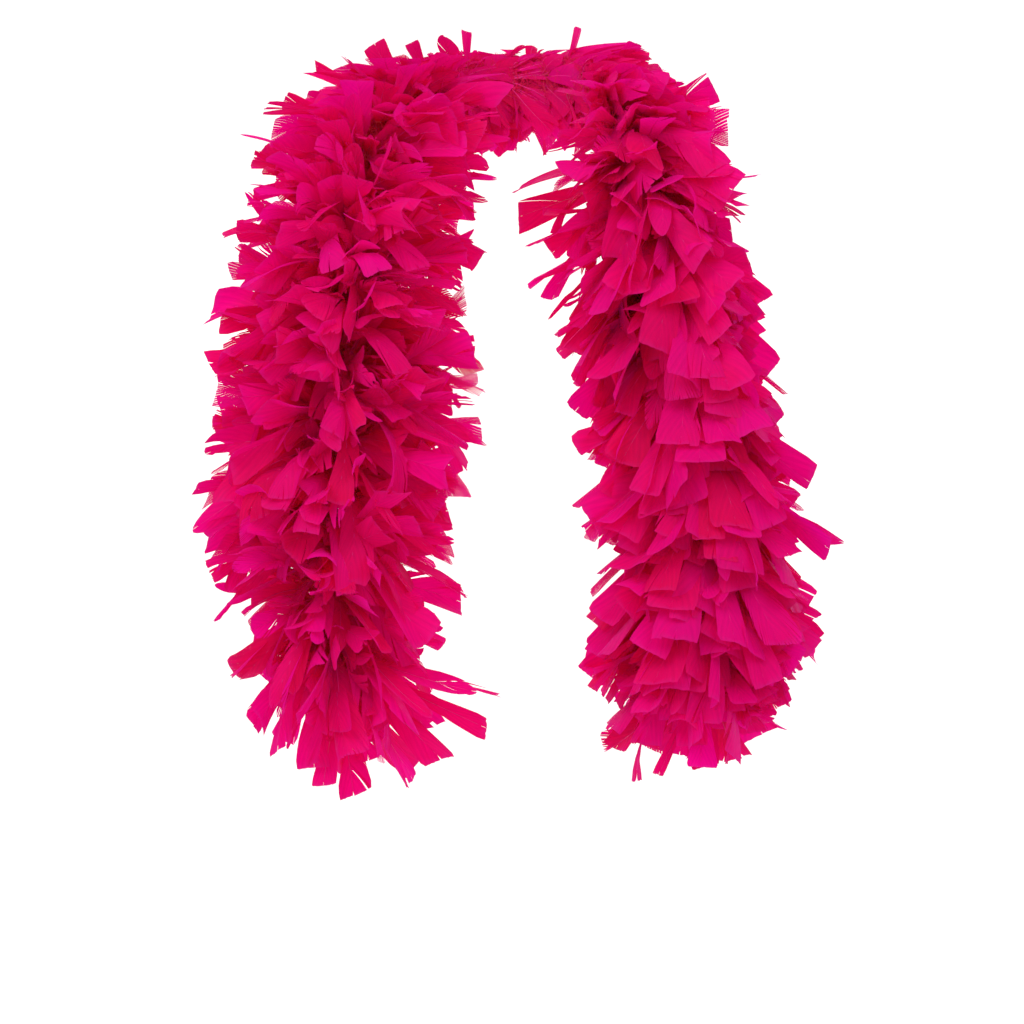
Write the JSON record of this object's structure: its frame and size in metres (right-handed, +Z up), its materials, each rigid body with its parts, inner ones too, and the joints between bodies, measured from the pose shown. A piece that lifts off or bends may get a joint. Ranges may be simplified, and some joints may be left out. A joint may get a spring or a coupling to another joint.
{
  "type": "feather boa",
  "caption": "Long soft boa of broad dyed feathers in close ruffs on a core cord, worn round the neck with both ends hanging down the front.",
  "frame": {"origin": "the middle of the core cord's yoke stretch, where it lies on the nape of the wearer's neck", "axes": "+Z up, -Y the way the wearer faces, +X to the right of someone facing the wearer"},
  "size_m": [0.7306, 0.4152, 0.9096],
  "materials": {
    "feathers": "dyed turkey-flat type feathers, satin vane with fluffy down at the foot",
    "cotton_cord": "twisted dyed cotton cord, matt",
    "stitching_thread": "dyed spun sewing thread, low sheen"
  },
  "bodies": {
    "yoke": {"left_yoke_ruff_1": "feathers", "left_yoke_ruff_2": "feathers", "left_yoke_ruff_3": "feathers", "left_yoke_ruff_4": "feathers", "left_yoke_ruff_5": "feathers", "left_yoke_ruff_6": "feathers", "right_yoke_ruff_1": "feathers", "right_yoke_ruff_2": "feathers", "right_yoke_ruff_3": "feathers", "right_yoke_ruff_4": "feathers", "right_yoke_ruff_5": "feathers", "right_yoke_ruff_6": "feathers", "yoke_core_cord": "cotton_cord", "yoke_stitching_thread": "stitching_thread"},
    "left_upper": {"left_upper_ruff_1": "feathers", "left_upper_ruff_2": "feathers", "left_upper_ruff_3": "feathers", "left_upper_ruff_4": "feathers", "left_upper_core_cord": "cotton_cord", "left_upper_stitching_thread": "stitching_thread"},
    "left_middle": {"left_middle_ruff_1": "feathers", "left_middle_ruff_2": "feathers", "left_middle_ruff_3": "feathers", "left_middle_ruff_4": "feathers", "left_middle_core_cord": "cotton_cord", "left_middle_stitching_thread": "stitching_thread"},
    "left_lower": {"left_lower_ruff_1": "feathers", "left_lower_ruff_2": "feathers", "left_lower_ruff_3": "feathers", "left_lower_core_cord": "cotton_cord", "left_lower_stitching_thread": "stitching_thread", "left_end_whipping": "stitching_thread", "left_end_knot": "cotton_cord"},
    "right_upper": {"right_upper_ruff_1": "feathers", "right_upper_ruff_2": "feathers", "right_upper_ruff_3": "feathers", "right_upper_ruff_4": "feathers", "right_upper_core_cord": "cotton_cord", "right_upper_stitching_thread": "stitching_thread"},
    "right_middle": {"right_middle_ruff_1": "feathers", "right_middle_ruff_2": "feathers", "right_middle_ruff_3": "feathers", "right_middle_ruff_4": "feathers", "right_middle_core_cord": "cotton_cord", "right_middle_stitching_thread": "stitching_thread"},
    "right_lower": {"right_lower_ruff_1": "feathers", "right_lower_ruff_2": "feathers", "right_lower_ruff_3": "feathers", "right_lower_core_cord": "cotton_cord", "right_lower_stitching_thread": "stitching_thread", "right_end_whipping": "stitching_thread", "right_end_knot": "cotton_cord"}
  },
  "joints": [
    {"name": "left_lift", "type": "hinge", "parent": "yoke", "child": "left_upper", "pos_m": [-0.18989, -0.1643, -0.15317], "axis": [-1, 0, 0], "range_deg": [0, 32]},
    {"name": "left_sway", "type": "hinge", "parent": "left_upper", "child": "left_middle", "pos_m": [-0.20705, -0.17318, -0.36801], "axis": [0, 1, 0], "range_deg": [-8, 20]},
    {"name": "left_curl", "type": "hinge", "parent": "left_middle", "child": "left_lower", "pos_m": [-0.21986, -0.17117, -0.58361], "axis": [-1, 0, 0], "range_deg": [-8, 25]},
    {"name": "right_lift", "type": "hinge", "parent": "yoke", "child": "right_upper", "pos_m": [0.16418, -0.15729, -0.18002], "axis": [-1, 0, 0], "range_deg": [0, 32]},
    {"name": "right_sway", "type": "hinge", "parent": "right_upper", "child": "right_middle", "pos_m": [0.20386, -0.17307, -0.39104], "axis": [0, -1, 0], "range_deg": [-8, 20]},
    {"name": "right_curl", "type": "hinge", "parent": "right_middle", "child": "right_lower", "pos_m": [0.22128, -0.1704, -0.60619], "axis": [-1, 0, 0], "range_deg": [-8, 25]}
  ]
}
